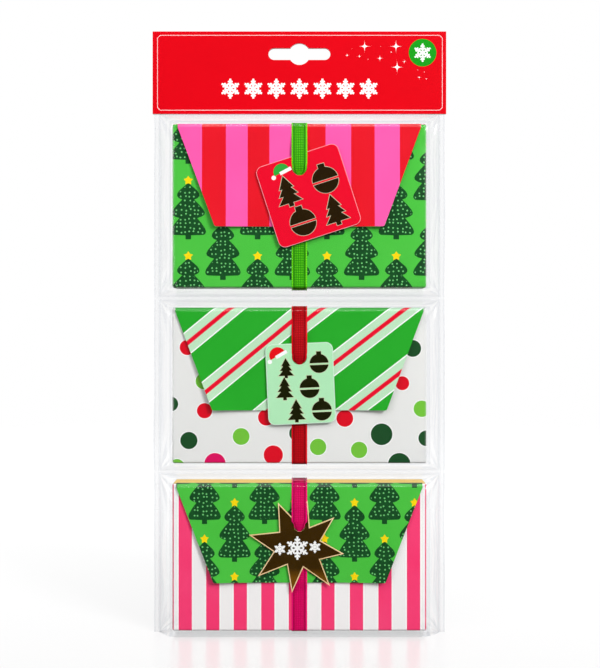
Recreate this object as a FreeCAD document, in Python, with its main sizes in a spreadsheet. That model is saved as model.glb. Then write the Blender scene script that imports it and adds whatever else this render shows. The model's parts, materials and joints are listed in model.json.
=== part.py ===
import FreeCAD, Part
import math
import os
import Sketcher

# Hang pack of three gift card boxes: a folded header card over a clear film bag with three
# heat-sealed pockets, and in each pocket a printed carton with a tapered flap, a ribbon and a gift tag.
# X runs across, Z up, the front faces -Y, and Y is zero where the two webs of the bag are welded.

doc = FreeCAD.newDocument("hang_pack")

# Driving sizes in millimetres and degrees, each under its own alias.
SIZES = {
    # Header card and its hang slot
    "header_width": "147.8",
    "header_height": "41.6",
    "header_board": "0.4",
    "slot_length": "31.2",
    "slot_height": "5.9",
    "slot_eye": "10.9",
    "slot_drop": "11.5",
    "tape_gauge": "0.1",
    "tape_height": "8",
    "tape_lift": "3",
    "tape_inset": "6",
    # Film bag
    "bag_width": "146.4",
    "film": "0.15",
    "side_weld": "2.5",
    "cross_weld": "1.5",
    "film_tuck": "20",
    "film_ease": "0.7",
    # Stacking of the boxes, from the foot of the bag up to the header
    "floor_gap": "2.2",
    "lower_gap": "9.9",
    "upper_gap": "9.9",
    "header_gap": "6.1",
    # Cartons
    "carton_width": "126.6",
    "carton_depth": "15",
    "board": "0.5",
    "fold_radius": "1",
    "top_height": "81.7",
    "middle_height": "77.5",
    "bottom_height": "73.5",
    # Flaps and the throat behind each
    "flap_inset": "2.1",
    "flap_bottom_width": "85.2",
    "top_flap_drop": "51.3",
    "middle_flap_drop": "51",
    "bottom_flap_drop": "49.2",
    "crease_drop": "0.4",
    "window_drop": "0.8",
    "flap_corner": "1.2",
    "throat_drop": "7",
    "throat_rise": "8",
    "throat_margin": "2.5",
    "throat_corner": "4",
    # Card insert
    "insert_lift": "6.5",
    "card_width": "85.6",
    "card_height": "54",
    "slit_reach": "12",
    "slit_width": "1",
    # Ribbons
    "ribbon_width": "7.5",
    "ribbon_gauge": "0.35",
    "ribbon_overlap": "17",
    "ribbon_ramp": "3",
    "neck_height": "1.2",
    "dot_width": "6",
    "dot_lift": "6",
    # Gift tags, each hung from its hole
    "tag_board": "0.5",
    "tag_corner": "3.5",
    "top_tag_width": "42.7",
    "top_tag_height": "42",
    "top_tag_margin": "6.4",
    "top_tag_hole": "7.6",
    "top_tag_drop": "22.2",
    "top_tag_tilt": "18",
    "middle_tag_width": "33.5",
    "middle_tag_height": "40",
    "middle_tag_margin": "6.8",
    "middle_tag_hole": "7.6",
    "middle_tag_drop": "24.5",
    "middle_tag_tilt": "2.5",
    "star_hang": "10.4",
    "star_shift": "1",
    "bottom_tag_hole": "5.6",
    "bottom_tag_drop": "20.9",
    # Star tag: turn and reach of each tip, and the reach of the notch after it
    "tip_1_turn": "12.4", "tip_1_reach": "23.8", "notch_1_reach": "11.6",
    "tip_2_turn": "51.3", "tip_2_reach": "23.5", "notch_2_reach": "12",
    "tip_3_turn": "98.4", "tip_3_reach": "23.4", "notch_3_reach": "12.9",
    "tip_4_turn": "140", "tip_4_reach": "25.2", "notch_4_reach": "10.5",
    "tip_5_turn": "186.8", "tip_5_reach": "22.9", "notch_5_reach": "10.2",
    "tip_6_turn": "233.4", "tip_6_reach": "24.5", "notch_6_reach": "12",
    "tip_7_turn": "284", "tip_7_reach": "24.8", "notch_7_reach": "11.7",
    "tip_8_turn": "336.3", "tip_8_reach": "24", "notch_8_reach": "13.5",
    # Shares, fits and the overrun of cuts
    "neck_share": "0.88",
    "swing_share": "0.7",
    "clearance": "0.3",
    "overrun": "2",
}

sheet = doc.addObject("Spreadsheet::Sheet", "sheet")
for row, (alias, text) in enumerate(SIZES.items(), 1):
    sheet.set(f"A{row}", alias)
    sheet.set(f"B{row}", text)
    sheet.setAlias(f"B{row}", alias)
doc.recompute()


class Size:
    """A size worked out from sheet cells: its expression for binding, its value for drafting."""

    def __init__(self, text, value):
        self.text = text
        self.value = value

    def __add__(self, other):
        return Size(f"({self.text} + {other.text})", self.value + other.value)

    def __sub__(self, other):
        return Size(f"({self.text} - {other.text})", self.value - other.value)

    def __mul__(self, other):
        return Size(f"({self.text} * {other.text})", self.value * other.value)

    def __truediv__(self, other):
        return Size(f"({self.text} / {other.text})", self.value / other.value)

    def __neg__(self):
        return Size(f"(-{self.text})", -self.value)


def cell(alias):
    return Size(f"sheet.{alias}", float(SIZES[alias]))


def half(size):
    return Size(f"({size.text} / 2)", size.value / 2)


def bind(thing, setting, size):
    thing.setExpression(setting, size.text)


def spot(point):
    return FreeCAD.Vector(point[0].value, point[1].value, 0)


def pin(sketch, geometry, point, place):
    for kind, size in zip(("DistanceX", "DistanceY"), place):
        index = sketch.addConstraint(Sketcher.Constraint(kind, -1, 1, geometry, point, size.value))
        sketch.setExpression(f"Constraints[{index}]", size.text)


def blank_sketch(body, name, role, offset):
    plane = next(item for item in body.Origin.OriginFeatures if item.Role == role)
    sketch = body.newObject("Sketcher::SketchObject", name)
    sketch.AttachmentSupport = [(plane, "")]
    sketch.MapMode = "FlatFace"
    bind(sketch, "AttachmentOffset.Base.z", offset)
    return sketch


def draw(body, name, role, offset, loops=(), circles=()):
    """A sketch of straight-sided loops and of circles, each point bound to the sheet."""
    sketch = blank_sketch(body, name, role, offset)
    for loop in loops:
        first = sketch.GeometryCount
        for here, there in zip(loop, loop[1:] + loop[:1]):
            sketch.addGeometry(Part.LineSegment(spot(here), spot(there)))
        for step, place in enumerate(loop):
            after = first + (step + 1) % len(loop)
            sketch.addConstraint(Sketcher.Constraint("Coincident", first + step, 2, after, 1))
            pin(sketch, first + step, 1, place)
    for centre, radius in circles:
        ring = sketch.addGeometry(Part.Circle(spot(centre), FreeCAD.Vector(0, 0, 1), radius.value))
        pin(sketch, ring, 3, centre)
        index = sketch.addConstraint(Sketcher.Constraint("Radius", ring, radius.value))
        sketch.setExpression(f"Constraints[{index}]", radius.text)
    return sketch


def rectangle(half_width, low, high):
    return [(-half_width, low), (half_width, low), (half_width, high), (-half_width, high)]


def new_body(name, lift):
    body = doc.addObject("PartDesign::Body", name)
    body.Label = name
    body.AllowCompound = True
    bind(body, "Placement.Base.z", lift)
    return body


def pad(body, sketch, length, side="One side"):
    feature = body.newObject("PartDesign::Pad", f"{sketch.Name}_pad")
    feature.Profile = sketch
    feature.SideType = side
    bind(feature, "Length", length)
    doc.recompute()
    return feature


def pocket(body, sketch, length):
    before = body.Shape.Volume
    feature = body.newObject("PartDesign::Pocket", f"{sketch.Name}_pocket")
    feature.Profile = sketch
    bind(feature, "Length", length)
    doc.recompute()
    if body.Shape.Volume >= before:
        raise RuntimeError(f"{feature.Name} removes nothing")
    return feature


def round_edges(body, radius, chosen):
    base = body.Tip
    names = [f"Edge{n}" for n, edge in enumerate(base.Shape.Edges, 1) if chosen(edge)]
    feature = body.newObject("PartDesign::Fillet", f"{base.Name}_fillet")
    feature.Base = (base, names)
    bind(feature, "Radius", radius)
    doc.recompute()
    return feature


def runs_through(edge, thickness):
    """True for an edge that runs front to back through a board of that thickness."""
    box = edge.BoundBox
    return abs(box.YLength - thickness.value) < thickness.value / 10 and edge.Length < 2 * box.YLength


def on_corner(edge, box):
    """True for an edge on one of a box's twelve corners."""
    ease = board.value / 10
    middle = edge.CenterOfMass
    at_side = min(abs(middle.x - box.XMin), abs(middle.x - box.XMax)) < ease
    at_face = min(abs(middle.y - box.YMin), abs(middle.y - box.YMax)) < ease
    at_level = min(abs(middle.z - box.ZMin), abs(middle.z - box.ZMax)) < ease
    return at_side + at_face + at_level == 2


ZERO = Size("0", 0.0)
FULL_TURN = Size("360", 360.0)
film = cell("film")
board = cell("board")
clearance = cell("clearance")
overrun = cell("overrun")
ribbon_gauge = cell("ribbon_gauge")
tag_board = cell("tag_board")

# Layers in front of the carton: flap, ribbon, tag, ribbon again, window film.
ribbon_inner = clearance + board
tag_inner = ribbon_inner + ribbon_gauge + clearance
cover_inner = tag_inner + tag_board + clearance
window_inner = cover_inner + ribbon_gauge + clearance
front_stack = window_inner + film
back_stack = ribbon_gauge + clearance + film
half_depth = half(front_stack + cell("carton_depth") + back_stack)
carton_front = half_depth - front_stack
carton_back = carton_front - cell("carton_depth")
crease_front = carton_front + clearance + half(board)
flap_head = half(cell("carton_width")) - cell("flap_inset")

# Heights of the cartons, the seals between them and the header.
bottom_floor = cell("floor_gap")
lower_seal = bottom_floor + cell("bottom_height") + half(cell("lower_gap"))
middle_floor = lower_seal + half(cell("lower_gap"))
upper_seal = middle_floor + cell("middle_height") + half(cell("upper_gap"))
top_floor = upper_seal + half(cell("upper_gap"))
header_low = top_floor + cell("top_height") + cell("header_gap")
header_high = header_low + cell("header_height")

# Header card: one board folded over the head of the bag, both leaves cut for the hang slot.
leaf_inner = film + cell("tape_gauge")
leaf_outer = leaf_inner + cell("header_board")
header = new_body("header_card", ZERO)
fold_inner = header_high - cell("header_board")
fold = draw(header, "header_fold", "YZ_Plane", ZERO, [[
    (-leaf_outer, header_low),
    (-leaf_inner, header_low),
    (-leaf_inner, fold_inner),
    (leaf_inner, fold_inner),
    (leaf_inner, header_low),
    (leaf_outer, header_low),
    (leaf_outer, header_high),
    (-leaf_outer, header_high),
]])
pad(header, fold, cell("header_width"), "Symmetric")
fold_middle = header_high - half(cell("header_board"))
round_edges(
    header,
    cell("header_board"),
    lambda edge: edge.CenterOfMass.z > fold_middle.value and edge.BoundBox.XLength > overrun.value,
)
slot_level = header_high - cell("slot_drop")
slot_half = half(cell("slot_height"))
slot_end = half(cell("slot_length")) - slot_half
slot_front = leaf_outer + overrun
slot_cut = slot_front + slot_front
slot = rectangle(slot_end, slot_level - slot_half, slot_level + slot_half)
pocket(header, draw(header, "slot_wings", "XZ_Plane", slot_front, [slot]), slot_cut)
ends = [((-slot_end, slot_level), slot_half), ((slot_end, slot_level), slot_half)]
pocket(header, draw(header, "slot_ends", "XZ_Plane", slot_front, circles=ends), slot_cut)
eye = [((ZERO, slot_level), half(cell("slot_eye")))]
pocket(header, draw(header, "slot_eye", "XZ_Plane", slot_front, circles=eye), slot_cut)

# Header tape: two strips between the leaves and the film.
tape = new_body("header_tape", ZERO)
tape_low = header_low + cell("tape_lift")
tape_half = half(cell("bag_width")) - cell("tape_inset")
strip = rectangle(tape_half, tape_low, tape_low + cell("tape_height"))
pad(tape, draw(tape, "front_tape", "XZ_Plane", film, [strip]), cell("tape_gauge"))
pad(tape, draw(tape, "back_tape", "XZ_Plane", -leaf_inner, [strip]), cell("tape_gauge"))

# Pockets of the bag: the walls slope from the weld plane to a rim round each carton.
weld_half = half(cell("bag_width")) - cell("side_weld")
rim_half = half(cell("carton_width")) + cell("film_ease")
weld = half(cell("cross_weld"))
POCKETS = {
    "top": (top_floor, cell("top_height"), upper_seal + weld, header_low - clearance),
    "middle": (middle_floor, cell("middle_height"), lower_seal + weld, upper_seal - weld),
    "bottom": (bottom_floor, cell("bottom_height"), ZERO, lower_seal - weld),
}


def rim_low(name):
    return ZERO if name == "bottom" else POCKETS[name][0] - cell("film_ease")


def rim_high(name):
    return POCKETS[name][0] + POCKETS[name][1] + cell("film_ease")


def pan(web, name, kind, nearer, further):
    """A wedge between two rectangles, given as depth, half width, low and high edge, nearest first."""
    feature = web.newObject(f"PartDesign::{kind}Wedge", name)
    for prefix, limit, (depth, half_width, low, high) in (("", "min", nearer), ("2", "max", further)):
        bind(feature, f"Y{limit}", depth)
        bind(feature, f"X{prefix}min", -half_width)
        bind(feature, f"X{prefix}max", half_width)
        bind(feature, f"Z{prefix}min", low)
        bind(feature, f"Z{prefix}max", high)
    doc.recompute()


# Front web: the rim of each pan is open, because a window closes it.
outline = rectangle(half(cell("bag_width")), ZERO, header_low + cell("film_tuck"))
front_web = new_body("bag_front_web", ZERO)
pad(front_web, draw(front_web, "front_sheet", "XZ_Plane", ZERO, [outline]), film)
for inset, kind in ((ZERO, "Additive"), (film, "Subtractive")):
    for place, (floor, height, low, high) in POCKETS.items():
        rim = (-half_depth, rim_half - inset, rim_low(place) + inset, rim_high(place) - inset)
        root = (ZERO, weld_half - inset, low + inset, high - inset)
        pan(front_web, f"{place}_front_{kind}", kind, rim, root)

# Back web: each pan is closed by a flat back of the film's own gauge.
back_web = new_body("bag_back_web", ZERO)
pad(back_web, draw(back_web, "back_sheet", "XZ_Plane", -film, [outline]), film)
for inset, kind in ((ZERO, "Additive"), (film, "Subtractive")):
    for place, (floor, height, low, high) in POCKETS.items():
        root = (ZERO, weld_half - inset, low + inset, high - inset)
        rim = (half_depth - inset, rim_half - inset, rim_low(place) + inset, rim_high(place) - inset)
        pan(back_web, f"{place}_back_{kind}", kind, root, rim)

# The film above each window stays inside the sweep of the window when it lifts with the flap.
sweep = window_inner - clearance - half(board)
for place, (floor, height, low, high) in POCKETS.items():
    crease_level = floor + height - cell("crease_drop")
    brow = rectangle(rim_half, crease_level, rim_high(place) + overrun)
    brow_sketch = draw(front_web, f"{place}_brow", "XZ_Plane", half_depth, [brow])
    pocket(front_web, brow_sketch, half_depth - crease_front - sweep * cell("swing_share"))


def carton(name, floor, height):
    """Tray, cavity and front panel; the panel has a tapered throat for the card."""
    body = new_body(f"{name}_carton", floor)
    wide = half(cell("carton_width"))
    panel = carton_front - board
    outline = rectangle(wide, ZERO, height)
    tray = draw(body, f"{name}_tray", "XZ_Plane", carton_back, [outline])
    pad(body, tray, cell("carton_depth") - board)
    hollow = rectangle(wide - board, board, height - board)
    cavity = draw(body, f"{name}_cavity", "XZ_Plane", panel, [hollow])
    pocket(body, cavity, cell("carton_depth") - board - board)
    throat_high = height - cell("throat_drop")
    throat_low = height - cell(f"{name}_flap_drop") + cell("throat_rise")
    throat_top = flap_half(name, height, throat_high) - cell("throat_margin")
    throat_foot = flap_half(name, height, throat_low) - cell("throat_margin")
    throat = [
        (-throat_foot, throat_low),
        (throat_foot, throat_low),
        (throat_top, throat_high),
        (-throat_top, throat_high),
    ]
    pad(body, draw(body, f"{name}_panel", "XZ_Plane", panel, [outline, throat]), board)
    round_edges(body, cell("throat_corner"), lambda edge: runs_through(edge, board))
    box = body.Tip.Shape.BoundBox
    round_edges(body, cell("fold_radius"), lambda edge: on_corner(edge, box))


def flap_half(name, height, level):
    """Half the flap's width at a level of its carton."""
    run = cell(f"{name}_flap_drop") - cell("crease_drop")
    lean = (flap_head - half(cell("flap_bottom_width"))) / run
    return flap_head - lean * (height - cell("crease_drop") - level)


def flap(name, floor, height):
    """Board with a round crease at its head, tapered by a cut at each side."""
    body = new_body(f"{name}_flap", floor)
    crease = height - cell("crease_drop")
    low = height - cell(f"{name}_flap_drop")
    near = -crease_front - half(board)
    away = -crease_front + half(board)
    section = blank_sketch(body, f"{name}_flap_section", "YZ_Plane", ZERO)
    corners = [(near, crease), (near, low), (away, low), (away, crease)]
    for step, (here, there) in enumerate(zip(corners, corners[1:])):
        section.addGeometry(Part.LineSegment(spot(here), spot(there)))
        pin(section, step, 1, here)
        if step:
            section.addConstraint(Sketcher.Constraint("Coincident", step - 1, 2, step, 1))
    pin(section, 2, 2, corners[3])
    middle = FreeCAD.Vector(-crease_front.value, crease.value, 0)
    circle = Part.Circle(middle, FreeCAD.Vector(0, 0, 1), half(board).value)
    section.addGeometry(Part.ArcOfCircle(circle, 0, math.pi))
    section.addConstraint(Sketcher.Constraint("Coincident", 3, 1, 2, 2))
    section.addConstraint(Sketcher.Constraint("Coincident", 3, 2, 0, 1))
    index = section.addConstraint(Sketcher.Constraint("DistanceY", -1, 1, 3, 3, crease.value))
    section.setExpression(f"Constraints[{index}]", crease.text)
    pad(body, section, flap_head + flap_head, "Symmetric")
    under = low - overrun
    wide = flap_head
    foot = flap_half(name, height, under)
    taper = [
        [(wide, crease), (wide + overrun, crease), (wide + overrun, under), (foot, under)],
        [(-wide, crease), (-foot, under), (-wide - overrun, under), (-wide - overrun, crease)],
    ]
    cut = draw(body, f"{name}_flap_taper", "XZ_Plane", half_depth, taper)
    pocket(body, cut, half_depth - carton_front)
    foot_level = (low + board).value
    round_edges(
        body,
        cell("flap_corner"),
        lambda edge: runs_through(edge, board) and edge.CenterOfMass.z < foot_level,
    )


def card_insert(name, floor, height):
    """Raised platform on two legs, with a slanted slit for each corner of the card."""
    body = new_body(f"{name}_card_insert", floor)
    wide = half(cell("carton_width")) - board - clearance
    foot = -carton_back - board
    table = foot - cell("insert_lift")
    channel = [
        (-wide, foot),
        (-wide, table),
        (wide, table),
        (wide, foot),
        (wide - board, foot),
        (wide - board, table + board),
        (board - wide, table + board),
        (board - wide, foot),
    ]
    low = board + clearance
    profile = draw(body, f"{name}_insert_section", "XY_Plane", low, [channel])
    pad(body, profile, height - low - low)
    middle = half(height)
    side = half(cell("card_width"))
    head = half(cell("card_height"))
    reach = cell("slit_reach")
    slits = []
    for across, up in ((1, 1), (1, -1), (-1, 1), (-1, -1)):
        points = [(side, head - reach), (side + cell("slit_width"), head - reach)]
        points += [(side - reach + cell("slit_width"), head), (side - reach, head)]
        slits.append([
            (x if across > 0 else -x, middle + z if up > 0 else middle - z) for x, z in points
        ])
    cut = draw(body, f"{name}_slits", "XZ_Plane", -table + overrun, slits)
    pocket(body, cut, board + overrun + overrun)


def ribbon_front(name, floor, height, drop, hole):
    """Front run: down the flap, over the tag's head, in through its hole and on behind it."""
    body = new_body(f"{name}_ribbon", floor)
    inner = -carton_front - ribbon_inner
    outer = inner - ribbon_gauge
    cover = -carton_front - cover_inner
    face = cover - ribbon_gauge
    crease = height - cell("crease_drop")
    level = height - drop
    step = level + cell("ribbon_overlap")
    neck = half(cell("neck_height"))
    ramp = cell("ribbon_ramp")
    edge = height - cell(f"{name}_flap_drop")
    tail = -carton_front - clearance
    run = draw(body, f"{name}_ribbon_run", "YZ_Plane", ZERO, [[
        (outer, crease),
        (outer, step + ramp),
        (face, step),
        (face, level - neck),
        (outer, level - neck),
        (outer, edge - clearance),
        (tail - ribbon_gauge, edge - ramp),
        (tail - ribbon_gauge, ZERO),
        (tail, ZERO),
        (tail, edge - ramp),
        (inner, edge - clearance),
        (inner, level + neck),
        (cover, level + neck),
        (cover, step),
        (inner, step + ramp),
        (inner, crease),
    ]])
    pad(body, run, cell("ribbon_width"), "Symmetric")
    thin = half(hole * cell("neck_share"))
    wide = half(cell("ribbon_width")) + overrun
    nicks = []
    for side in (thin, wide), (-wide, -thin):
        nicks.append([
            (side[0], level - neck),
            (side[1], level - neck),
            (side[1], level + neck),
            (side[0], level + neck),
        ])
    cut = draw(body, f"{name}_ribbon_neck", "XZ_Plane", carton_front + cover_inner, nicks)
    pocket(body, cut, cover_inner - ribbon_inner - ribbon_gauge)


def ribbon_back(name, floor, height):
    """Back run: over the carton's top, down its back and under its foot."""
    body = new_body(f"{name}_ribbon_back", floor)
    front = -carton_front
    rear = -carton_back
    run = draw(body, f"{name}_ribbon_wrap", "YZ_Plane", ZERO, [[
        (front, height),
        (rear, height),
        (rear, ZERO),
        (front, ZERO),
        (front, -ribbon_gauge),
        (rear + ribbon_gauge, -ribbon_gauge),
        (rear + ribbon_gauge, height + ribbon_gauge),
        (front, height + ribbon_gauge),
    ]])
    pad(body, run, cell("ribbon_width"), "Symmetric")


def window(name, floor, height):
    """Flat film front of the pocket, hung just under the crease."""
    body = new_body(f"{name}_window", ZERO)
    wide = rim_half - film - clearance
    low = rim_low(name) + film + clearance
    head = floor + height - cell("crease_drop") - cell("window_drop")
    pane = rectangle(wide, low, head)
    pad(body, draw(body, f"{name}_pane", "XZ_Plane", half_depth - film, [pane]), film)


def hung_tag(name, floor, height, drop, hole, loop):
    """Tag drawn round its own hole and set at the hole's place on the ribbon."""
    body = new_body(f"{name}_tag", floor + height - drop)
    hang = [((ZERO, ZERO), half(hole))]
    front = carton_front + tag_inner
    pad(body, draw(body, f"{name}_tag_outline", "XZ_Plane", front, [loop], hang), tag_board)
    return body


def square_tag(name, floor, height):
    wide = half(cell(f"{name}_tag_width"))
    head = cell(f"{name}_tag_margin")
    loop = rectangle(wide, head - cell(f"{name}_tag_height"), head)
    drop = cell(f"{name}_tag_drop")
    body = hung_tag(name, floor, height, drop, cell(f"{name}_tag_hole"), loop)
    round_edges(
        body,
        cell("tag_corner"),
        lambda edge: runs_through(edge, tag_board) and len(edge.Vertexes) == 2
        and abs(edge.CenterOfMass.x) > half(wide).value,
    )
    tilt = cell(f"{name}_tag_tilt")
    lift = FreeCAD.Vector(0, 0, body.Placement.Base.z)
    body.Placement = FreeCAD.Placement(lift, FreeCAD.Rotation(FreeCAD.Vector(0, -1, 0), tilt.value))
    bind(body, "Placement.Rotation.Angle", tilt)


def star_tag(name, floor, height):
    """Star with eight uneven points, hung from a hole above its middle."""
    loop = []
    tip_count = 8
    for tip in range(1, tip_count + 1):
        turn = cell(f"tip_{tip}_turn")
        after = cell(f"tip_{tip + 1}_turn") if tip < tip_count else cell("tip_1_turn") + FULL_TURN
        corners = ((turn, cell(f"tip_{tip}_reach")), (half(turn + after), cell(f"notch_{tip}_reach")))
        for angle, reach in corners:
            sine = Size(f"sin({angle.text})", math.sin(math.radians(angle.value)))
            cosine = Size(f"cos({angle.text})", math.cos(math.radians(angle.value)))
            loop.append((reach * sine - cell("star_shift"), reach * cosine - cell("star_hang")))
    drop = cell(f"{name}_tag_drop")
    hung_tag(name, floor, height, drop, cell(f"{name}_tag_hole"), loop)


dots = new_body("ribbon_dots", ZERO)
spots = []
for place, (floor, height, low, high) in POCKETS.items():
    carton(place, floor, height)
    card_insert(place, floor, height)
    flap(place, floor, height)
    ribbon_back(place, floor, height)
    ribbon_front(place, floor, height, cell(f"{place}_tag_drop"), cell(f"{place}_tag_hole"))
    if place == "bottom":
        star_tag(place, floor, height)
    else:
        square_tag(place, floor, height)
    window(place, floor, height)
    spots.append(((ZERO, floor + cell("dot_lift")), half(cell("dot_width"))))

# Glue dots that hold the lower ends of the ribbons, one on the front of each carton.
pad(dots, draw(dots, "dots", "XZ_Plane", carton_front, circles=spots), half(clearance))

doc.recompute()
os.makedirs("parts", exist_ok=True)
for thing in doc.Objects:
    if "Invalid" in thing.State or "Error" in thing.State:
        raise RuntimeError(f"{thing.Name} did not build")
bodies = [thing for thing in doc.Objects if thing.TypeId == "PartDesign::Body"]
for body in bodies:
    if body.Shape.isNull() or not body.Shape.isValid():
        raise RuntimeError(f"{body.Label} has no valid shape")
for body in bodies:
    body.Shape.exportStep(f"parts/{body.Label}.step")
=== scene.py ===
import functools
import json
import math
import random

import bmesh
import bpy
from mathutils import Matrix, Vector, noise


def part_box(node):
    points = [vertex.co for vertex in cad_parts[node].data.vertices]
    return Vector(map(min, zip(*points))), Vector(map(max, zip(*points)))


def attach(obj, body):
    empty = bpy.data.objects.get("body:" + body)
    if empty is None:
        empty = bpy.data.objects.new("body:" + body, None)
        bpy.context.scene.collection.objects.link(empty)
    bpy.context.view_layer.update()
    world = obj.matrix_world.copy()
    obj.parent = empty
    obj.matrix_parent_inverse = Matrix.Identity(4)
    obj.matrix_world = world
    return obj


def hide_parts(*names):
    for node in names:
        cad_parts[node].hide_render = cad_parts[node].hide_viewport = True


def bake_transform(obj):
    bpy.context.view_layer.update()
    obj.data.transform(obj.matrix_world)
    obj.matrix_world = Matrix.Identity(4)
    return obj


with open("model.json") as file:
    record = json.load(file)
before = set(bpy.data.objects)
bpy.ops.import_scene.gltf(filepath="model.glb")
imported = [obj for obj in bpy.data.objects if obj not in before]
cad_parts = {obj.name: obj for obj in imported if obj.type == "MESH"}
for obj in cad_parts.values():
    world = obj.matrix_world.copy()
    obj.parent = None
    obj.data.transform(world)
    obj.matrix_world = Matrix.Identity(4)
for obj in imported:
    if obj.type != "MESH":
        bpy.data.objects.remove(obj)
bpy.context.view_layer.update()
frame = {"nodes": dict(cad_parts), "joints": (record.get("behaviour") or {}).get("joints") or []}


# Studio: a white floor that fades out into a room that is bright behind the pack and dim in front of
# it. A soft key lamp stands up on the right, a fill on the left and a long lamp overhead, and a level
# camera half a metre away looks at the middle of the pack.
MM = 0.001
lens = 54
view_gap = 505 * MM
eye_level = 150 * MM
eye_shift = 0.3 * MM
room_light = 0.38
wall_slope, wall_middle, wall_dim = 2.2, 0.15, 0.015
floor_reach = 4.0
floor_lift = 0.62
floor_grey, floor_mirror_drop = 0.2, 0.18
fade_start, fade_slope = 1.35, 1.1

scene = bpy.context.scene
scene.view_settings.view_transform = "Standard"
camera = bpy.data.objects.new("camera", bpy.data.cameras.new("camera"))
camera.data.lens = lens
camera.location = (eye_shift, -view_gap, eye_level)
camera.rotation_euler = (math.radians(90), 0, 0)
scene.collection.objects.link(camera)
scene.camera = camera


class Field:
    """A value that varies over a surface: a node's output that sums and compares like a number."""

    def __init__(self, socket):
        self.socket = socket
        self.tree = socket.id_data

    def calc(self, operation, *others):
        node = self.tree.nodes.new("ShaderNodeMath")
        node.operation = operation
        for entry, value in zip(node.inputs, (self, *others)):
            if isinstance(value, Field):
                self.tree.links.new(value.socket, entry)
            else:
                entry.default_value = value
        return Field(node.outputs[0])

    def __add__(self, other):
        return self.calc("ADD", other)

    def __sub__(self, other):
        return self.calc("SUBTRACT", other)

    def __rsub__(self, other):
        return self * -1.0 + other

    def __mul__(self, other):
        return self.calc("MULTIPLY", other)

    def __truediv__(self, other):
        return self.calc("DIVIDE", other)

    def __mod__(self, other):
        return self.calc("FLOORED_MODULO", other)

    def __abs__(self):
        return self.calc("ABSOLUTE")

    def __lt__(self, other):
        return self.calc("LESS_THAN", other)

    def __gt__(self, other):
        return self.calc("GREATER_THAN", other)

    def __and__(self, other):
        return self.calc("MINIMUM", other)

    def __or__(self, other):
        return self.calc("MAXIMUM", other)

    def root(self):
        return self.calc("SQRT")

    def feed(self, entry):
        self.tree.links.new(self.socket, entry)


def parts_of(socket):
    """The three parts of a vector."""
    split = socket.id_data.nodes.new("ShaderNodeSeparateXYZ")
    socket.id_data.links.new(socket, split.inputs[0])
    return [Field(output) for output in split.outputs]


def distance(across, up):
    """How far a place lies from the middle of a figure."""
    return (across * across + up * up).root()


def lamp(name, place, size, watts):
    """A soft rectangular lamp aimed at the middle of the pack."""
    light = bpy.data.lights.new(name, "AREA")
    light.shape = "RECTANGLE"
    light.size, light.size_y = size
    light.energy = watts
    holder = bpy.data.objects.new(name, light)
    holder.location = place
    aim = Vector((0, 0, eye_level)) - holder.location
    holder.rotation_euler = aim.to_track_quat("-Z", "Y").to_euler()
    scene.collection.objects.link(holder)


lamp("key_lamp", place=(1.08, -1.17, 0.95), size=(0.50, 0.50), watts=24.5)
lamp("fill_lamp", place=(-0.85, -0.60, 0.15), size=(0.25, 0.90), watts=3.0)
lamp("top_lamp", place=(0, -0.55, 0.85), size=(1.40, 0.14), watts=3.4)

room = bpy.data.worlds.new("room")
scene.world = room
room.use_nodes = True
walls = room.node_tree
rays = walls.nodes.new("ShaderNodeLightPath").outputs
to_back = parts_of(walls.nodes.new("ShaderNodeTexCoord").outputs["Generated"])[1]
seen = Field(rays["Is Camera Ray"]) | Field(rays["Is Transmission Ray"])
mirrored = Field(rays["Is Glossy Ray"])
backdrop = (to_back * wall_slope + wall_middle | wall_dim) & 1.0
unseen = mirrored * backdrop + (1.0 - mirrored) * room_light
(seen + (1.0 - seen) * unseen).feed(walls.nodes["Background"].inputs["Strength"])
walls.nodes["Background"].inputs["Color"].default_value = (1, 1, 1, 1)

floor_mesh = bpy.data.meshes.new("floor")
sweep = bmesh.new()
bmesh.ops.create_grid(sweep, x_segments=1, y_segments=1, size=floor_reach)
sweep.to_mesh(floor_mesh)
sweep.free()
floor = bpy.data.objects.new("floor", floor_mesh)
scene.collection.objects.link(floor)
floor_paint = bpy.data.materials.new("floor_paint")
floor_paint.use_nodes = True
floor_nodes = floor_paint.node_tree.nodes
floor_skin = floor_nodes["Principled BSDF"].inputs
floor_skin["Roughness"].default_value = 0.22
floor_skin["Emission Color"].default_value = (1, 1, 1, 1)
floor_rays = floor_nodes.new("ShaderNodeLightPath").outputs
(Field(floor_rays["Is Camera Ray"]) * floor_lift).feed(floor_skin["Emission Strength"])
(floor_grey - Field(floor_rays["Is Glossy Ray"]) * floor_mirror_drop).feed(floor_skin["Base Color"])
floor_x, floor_y, _ = parts_of(floor_nodes.new("ShaderNodeTexCoord").outputs["Object"])
((fade_start - distance(floor_x, floor_y) * fade_slope | 0.0) & 1.0).feed(floor_skin["Alpha"])
floor_mesh.materials.append(floor_paint)


# Cartons: three folded boxes of thin coated board, printed outside and left white inside. The top one
# has small fir trees, the middle one scattered dots, the bottom one candy stripes and a gold foil lid.
PLACES = ("top", "middle", "bottom")
cartons = {place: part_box(f"{place}_carton") for place in PLACES}
board = 0.5
fold_show = 1.1
fold_ramp = 3.0
# How pale the side folds are painted: partly wear of the board, partly a painted highlight on the
# rounded edge.
side_wear_and_highlight = 0.06
square_on = 0.7
gloss_patch = 5
tooth_patch, tooth_depth = 0.9, 0.004
print_gloss, print_spread = 0.28, 0.02


def ink(red, green, blue):
    """A colour in screen values from 0 to 255, turned into the linear light that shaders take."""
    shares = [value / 255 for value in (red, green, blue)]
    linear = [s / 12.92 if s < 0.04 else ((s + 0.055) / 1.055) ** 2.4 for s in shares]
    return (*linear, 1.0)


def new_finish(name):
    """An empty material with its node tree and the sockets of its shader."""
    material = bpy.data.materials.new(name)
    material.use_nodes = True
    return material, material.node_tree, material.node_tree.nodes["Principled BSDF"].inputs


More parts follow.
